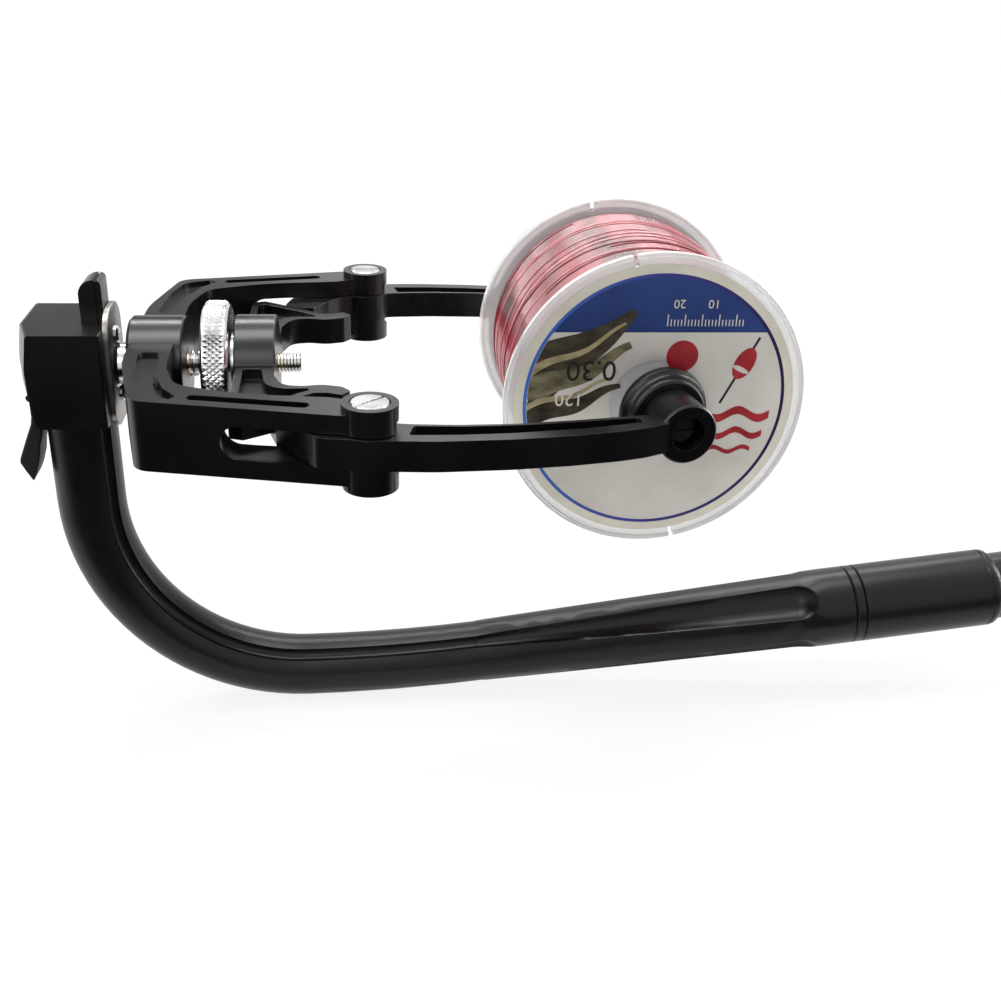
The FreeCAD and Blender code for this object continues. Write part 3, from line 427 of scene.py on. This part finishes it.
def crossing_strands():
    """Last turns of line, which cross the winding at a slant, some of them darker."""
    chance = random.Random(7)
    # the first set of strands is coloured paler as a painted highlight
    for name, material, count in (("crossing_strands", strand_painted_highlight, 16), ("dark_strands", red_strand, 10)):
        shape = bmesh.new()
        for _ in range(count):
            start = chance.uniform(-LAST_REACH, 24)
            drift = chance.uniform(2.0, 9.0) * chance.choice((-1, 1))
            drift = max(-LAST_REACH - start, min(LAST_REACH - start, drift))
            first = chance.uniform(0, FULL_TURN)
            sweep = chance.uniform(2.0, 5.5)
            steps = int(sweep * 16)
            lift = winding_radius(max(abs(start), abs(start + drift))) + LAST_LIFT
            ring = bmesh.ops.create_circle(shape, segments=8, radius=LAST_R * MM)["verts"]
            place = (Matrix.Translation(SPOOL_AXIS + Vector((0, start * MM, 0))) @ Matrix.Rotation(first, 4, "Y")
                     @ Matrix.Translation((0, 0, lift * MM)) @ Matrix.Rotation(math.pi / 2, 4, "Y"))
            bmesh.ops.transform(shape, matrix=place, verts=ring)
            loops = list({edge for vert in ring for edge in vert.link_edges})
            bmesh.ops.contextual_create(shape, geom=loops)
            faces = [face for face in shape.faces if all(vert in ring for vert in face.verts)]
            bmesh.ops.spin(shape, geom=ring + loops + faces, cent=SPOOL_AXIS, axis=AXIS_Y, angle=sweep, steps=steps,
                           dvec=AXIS_Y * (drift * MM / steps))
        piece_from(shape, name, "spool", [material], 70)


LABEL_MATERIALS = (label_paper, label_cream, label_ring, label_blue)
# millimetres from the spool's axis: the chord, the thin ring, the print's limit, the label's hole and rim
CHORD_Z = 21.7
RING_R = (37.9, 38.9)
PRINT_R = 37.8
LABEL_R = (13.4, 41.5)
# millimetres along the spool's axis: the label's back and face, the print's foot, its layers and its thickness
LABEL_DEPTHS = (35.62, 35.88)
PRINT_FOOT, PRINT_LAYER, PRINT_THICKNESS = 35.86, 0.02, 0.03


def label_disc(side):
    """Round label: off-white field, blue segment above a chord, a thin ring and a cream border."""
    name = "near" if side < 0 else "far"
    back, face = LABEL_DEPTHS
    hole, rim = LABEL_R
    profile = [(back, hole), (face, hole), (face, RING_R[0]), (face, RING_R[1]), (face, rim), (back, rim)]
    shape = lathe([(side * along, radius) for along, radius in profile], SPOOL_AXIS, AXIS_Y, AXIS_Z, 144)
    bmesh.ops.bisect_plane(shape, geom=shape.verts[:] + shape.edges[:] + shape.faces[:],
                           plane_co=(0, 0, CHORD_Z * MM), plane_no=AXIS_Z)
    for polygon in shape.faces:
        middle = polygon.calc_center_median() - SPOOL_AXIS
        radius = math.hypot(middle.x, middle.z) / MM
        if radius > RING_R[1]:
            polygon.material_index = 1
        elif radius > RING_R[0]:
            polygon.material_index = 2
        elif middle.z > CHORD_Z * MM:
            polygon.material_index = 3
    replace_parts(piece_from(shape, name + "_label_disc", "spool", LABEL_MATERIALS, 30), name + "_label")


def on_label(shape, side, layer):
    """Lays a flat shape, drawn in the XY plane in millimetres, on a label and gives it the print's thickness."""
    thicken(shape, AXIS_Z * PRINT_THICKNESS)
    upright = Matrix.Rotation(math.pi / 2, 4, "X")
    if side > 0:
        upright = Matrix.Rotation(math.pi, 4, "Z") @ upright
    depth = Matrix.Translation(SPOOL_AXIS + Vector((0, side * (PRINT_FOOT + PRINT_LAYER * layer) * MM, 0)))
    bmesh.ops.transform(shape, matrix=depth @ upright @ Matrix.Scale(MM, 4), verts=shape.verts)
    return shape


def ribbon(start, end, width, wave, waves, taper=1.0):
    """Flat band from start to end in the XY plane that swings from side to side as it runs."""
    shape = bmesh.new()
    bmesh.ops.create_grid(shape, x_segments=40, y_segments=2, size=0.5)
    run = Vector((end[0] - start[0], end[1] - start[1], 0))
    along, across = run.normalized(), Vector((-run.y, run.x, 0)).normalized()
    for vert in shape.verts:
        t = vert.co.x + 0.5
        half = vert.co.y * width * (1 + (taper - 1) * t)
        swing = wave * math.sin(FULL_TURN * waves * t)
        vert.co = Vector((*start, 0)) + along * (run.length * t) + across * (half + swing)
        vert.co *= min(1.0, PRINT_R / vert.co.length)
    return shape


def number_shape(digits, height, place, turn_deg):
    """Plain printed number as a flat shape."""
    text = bpy.data.curves.new("number", "FONT")
    text.body = digits
    text.size = height
    text.align_x = "CENTER"
    text.align_y = "CENTER"
    text.resolution_u = 4
    holder = bpy.data.objects.new("number", text)
    mesh = bpy.data.meshes.new_from_object(holder)
    shape = bmesh.new()
    shape.from_mesh(mesh)
    bmesh.ops.transform(shape, verts=shape.verts, matrix=Matrix.Translation((*place, 0))
                        @ Matrix.Rotation(math.radians(turn_deg), 4, "Z"))
    bpy.data.objects.remove(holder)
    bpy.data.meshes.remove(mesh)
    return shape


def label_print(side):
    """Plain print on a label: banks, a red float over ripples, a red sun, a ruler's ticks and plain numbers."""
    name = "near" if side < 0 else "far"
    bands = (
        ("umber_bank", label_umber, ((-38.5, 6.0), (-7.5, 27.5), 19.0, 0.9, 1.1, 0.12), 1),
        ("olive_bank", label_olive, ((-38.5, 2.0), (-8.0, 17.0), 8.5, 1.2, 1.3, 0.25), 2),
        ("sand_bank", label_sand, ((-38.5, 8.5), (-10.0, 23.5), 2.6, 1.0, 1.3, 0.3), 3),
        ("low_bank", label_umber, ((-38.5, -4.5), (-10.5, 5.0), 8.5, 1.0, 1.4, 0.15), 2),
        ("low_sand_bank", label_sand, ((-38.5, -1.5), (-13.0, 7.5), 2.0, 0.8, 1.4, 0.4), 3),
        ("red_ripple", label_red, ((9.5, -3.5), (35.0, -3.5), 2.6, 1.3, 2.0, 1.0), 2),
        ("low_red_ripple", label_red, ((12.0, -9.5), (33.5, -9.5), 2.0, 1.1, 2.0, 1.0), 2),
        ("last_red_ripple", label_red, ((17.0, -14.8), (30.5, -14.8), 1.4, 0.8, 1.5, 1.0), 2),
        ("float_stem", label_ink, ((19.5, 0.0), (29.2, 20.2), 0.7, 0.0, 1.0, 1.0), 2),
    )
    for piece_name, material, (start, end, width, wave, waves, taper), layer in bands:
        shape = on_label(ribbon(start, end, width, wave, waves, taper), side, layer)
        piece_from(shape, name + "_" + piece_name, "spool", [material])
    for piece_name, material, radius, place, stretch, layer in (
            ("float_body", label_red, 2.9, (25.5, 12.3), 1.75, 3),
            ("float_band", label_paper, 2.6, (24.6, 10.5), 0.3, 4),
            ("red_sun", label_red, 4.7, (6.8, 14.6), 1.0, 2)):
        spot = bmesh.new()
        bmesh.ops.create_circle(spot, cap_ends=True, segments=40, radius=radius)
        leaning = Matrix.Translation((*place, 0)) @ Matrix.Rotation(math.radians(-25.6), 4, "Z")
        bmesh.ops.transform(spot, verts=spot.verts, matrix=leaning @ Matrix.Diagonal((1, stretch, 1, 1)))
        piece_from(on_label(spot, side, layer), name + "_" + piece_name, "spool", [material])
    ticks = bmesh.new()
    for i in range(23):
        length = 3.4 if i % 5 == 0 else 1.9
        made = bmesh.ops.create_grid(ticks, x_segments=1, y_segments=1, size=0.5)["verts"]
        bmesh.ops.transform(ticks, verts=made, matrix=Matrix.Translation((1.5 + i, 23.6 + length / 2, 0))
                            @ Matrix.Diagonal((0.32, length, 1, 1)))
    piece_from(on_label(ticks, side, 2), name + "_ruler_ticks", "spool", [label_paper])
    for digits, height, place, material in (
            ("0.30", 8.6, (-19.5, 10.5), label_ink),
            ("120", 5.6, (-25.5, 1.6), label_paper),
            ("20", 3.6, (4.5, 30.2), label_paper),
            ("10", 3.6, (14.5, 30.2), label_paper)):
        shape = on_label(number_shape(digits, height, place, 180), side, 4)
        piece_from(shape, name + "_number_" + digits.replace(".", "_"), "spool", [material])


# ---- Stage, light and camera ----

CAMERA_PLACE = Vector((0.10031, -0.35587, 0.12746))
# degrees: down, to the right, and the roll about the line of sight
CAMERA_TURN_DEG = (26.13, 7.39, -2.37)
SENSOR_MM, FOCAL_PX, PICTURE_PX = 36.0, 1200, 1001


def camera_view():
    """Camera above the winder, on the near side, looking down and a little to the right."""
    pitch, yaw, roll = (math.radians(angle) for angle in CAMERA_TURN_DEG)
    ahead = Vector((math.sin(yaw) * math.cos(pitch), math.cos(yaw) * math.cos(pitch), -math.sin(pitch)))
    level = Vector((math.cos(yaw), -math.sin(yaw), 0))
    down = ahead.cross(level)
    right = level * math.cos(roll) + down * math.sin(roll)
    up = level * math.sin(roll) - down * math.cos(roll)
    lens = bpy.data.cameras.new("camera")
    lens.sensor_width = SENSOR_MM
    lens.lens = SENSOR_MM * FOCAL_PX / PICTURE_PX
    lens.clip_start = 0.01
    camera = bpy.data.objects.new("camera", lens)
    scene.collection.objects.link(camera)
    turn = Matrix((right, up, -ahead)).transposed().to_4x4()
    camera.matrix_world = Matrix.Translation(CAMERA_PLACE) @ turn
    scene.camera = camera


def area_lamp(name, place, aim, size, power):
    """Rectangular lamp at a place, turned to an aim."""
    light = bpy.data.lights.new(name, "AREA")
    light.shape = "RECTANGLE"
    light.size, light.size_y = size
    light.energy = power
    lamp = bpy.data.objects.new(name, light)
    scene.collection.objects.link(lamp)
    lamp.location = place
    lamp.rotation_euler = (Vector(aim) - Vector(place)).to_track_quat("-Z", "Y").to_euler()


def flag_card(name, place, size, tilt_deg):
    """Black card beside the set: it only darkens what shiny parts mirror, as a photographer's flag does."""
    shape = bmesh.new()
    bmesh.ops.create_grid(shape, x_segments=1, y_segments=1, size=0.5)
    stand = Matrix.Translation(place) @ Matrix.Rotation(math.radians(tilt_deg), 4, "X")
    bmesh.ops.transform(shape, verts=shape.verts, matrix=stand @ Matrix.Diagonal((*size, 1, 1)))
    mesh = bpy.data.meshes.new(name)
    shape.to_mesh(mesh)
    shape.free()
    card = bpy.data.objects.new(name, mesh)
    scene.collection.objects.link(card)
    material, tree, out, _ = new_material(name)
    black = add_node(tree, "ShaderNodeBsdfDiffuse", {"Color": (0, 0, 0, 1)})
    tree.links.new(black.outputs[0], out.inputs["Surface"])
    mesh.materials.append(material)
    card.visible_camera = False
    card.visible_diffuse = False
    card.visible_transmission = False
    card.visible_shadow = False


def seen_directly(tree):
    """1 where a camera, mirror or glass ray meets the surface, and 0 for light that bounces."""
    path = tree.nodes.new("ShaderNodeLightPath")
    total = add_node(tree, "ShaderNodeMath", links={0: path.outputs["Is Camera Ray"],
                                                    1: path.outputs["Is Glossy Ray"]}, operation="ADD")
    return add_node(tree, "ShaderNodeMath", links={0: total.outputs[0], 1: path.outputs["Is Transmission Ray"]},
                    operation="ADD", use_clamp=True).outputs[0]


def studio():
    """White table and sky, dimmer for bounced light, with black flags and lamps round the winder."""
    world = bpy.data.worlds.new("studio")
    world.use_nodes = True
    scene.world = world
    tree = world.node_tree
    tree.nodes.clear()
    out = tree.nodes.new("ShaderNodeOutputWorld")
    strength = add_node(tree, "ShaderNodeMapRange", {"To Min": 0.4, "To Max": 1.0}, {"Value": seen_directly(tree)})
    sky = add_node(tree, "ShaderNodeBackground", {"Color": (1, 1, 1, 1)}, {"Strength": strength.outputs["Result"]})
    tree.links.new(sky.outputs["Background"], out.inputs["Surface"])

    floor_shape = bmesh.new()
    bmesh.ops.create_grid(floor_shape, x_segments=1, y_segments=1, size=14.0)
    bmesh.ops.translate(floor_shape, verts=floor_shape.verts, vec=(0.15, 0, cad_box[0][2]))
    mesh = bpy.data.meshes.new("floor")
    floor_shape.to_mesh(mesh)
    floor_shape.free()
    floor = bpy.data.objects.new("floor", mesh)
    scene.collection.objects.link(floor)
    material, tree, out, place = new_material("white_table")
    matt = add_node(tree, "ShaderNodeBsdfDiffuse", {"Color": (0.9, 0.9, 0.9, 1)})
    reach = add_node(tree, "ShaderNodeVectorMath", links={0: place}, operation="LENGTH").outputs["Value"]
    lift = add_node(tree, "ShaderNodeMapRange", {"From Min": 0.25, "From Max": 1.1, "To Min": 0.99, "To Max": 1.1},
                    {"Value": reach})
    glow = add_node(tree, "ShaderNodeEmission", {"Color": (1, 1, 1, 1)}, {"Strength": lift.outputs["Result"]})
    share = add_node(tree, "ShaderNodeMath", {1: 0.88}, {0: seen_directly(tree)}, operation="MULTIPLY")
    mixed = add_node(tree, "ShaderNodeMixShader",
                     links={0: share.outputs[0], 1: matt.outputs[0], 2: glow.outputs[0]})
    tree.links.new(mixed.outputs[0], out.inputs["Surface"])
    mesh.materials.append(material)

    flag_card("front_flag", (0.12, -0.52, -0.1195), (1.8, 0.9), 0)
    flag_card("back_flag", (-0.6, 0.75, 0.36), (1.25, 0.34), 90)
    area_lamp("overhead", (0.10, 0.05, 0.8), (0.12, 0, 0), (0.8, 0.3), 6)
    area_lamp("back_strip", (0.05, 0.62, 0.62), (0.12, 0, 0), (1.3, 0.06), 7)
    area_lamp("right_strip", (0.95, 0.1, 0.25), (0.15, 0, 0), (0.12, 0.7), 5)
    area_lamp("left_strip", (-0.6, -0.15, 0.5), (0.05, 0, 0), (0.08, 0.6), 3)
    area_lamp("front_fill", (-0.15, -0.8, 0.6), (0.12, 0, 0), (0.4, 0.4), 1.5)


camera_view()
studio()

for node_name, edge_mm in (
        ("saddle_block", 1.2), ("strap_hook", 1.1), ("yoke_frame", 0.5), ("slider_bracket", 0.4),
        ("near_finger", 0.45), ("far_finger", 0.45), ("j_arm", 0.3), ("butt_sleeve", 0.15), ("butt_cap", 0.3),
        ("near_plug", 0.4), ("far_plug", 0.4), ("pivot_screws", 0.12), ("near_flange", 0.25), ("far_flange", 0.25)):
    rounded_copy(node_name, edge_mm)
stamped_flange()
hanging_strap()
threaded_stud()
knurled_rim_wheel()
wound_line()
crossing_strands()
for side in (-1, 1):
    label_disc(side)
    label_print(side)
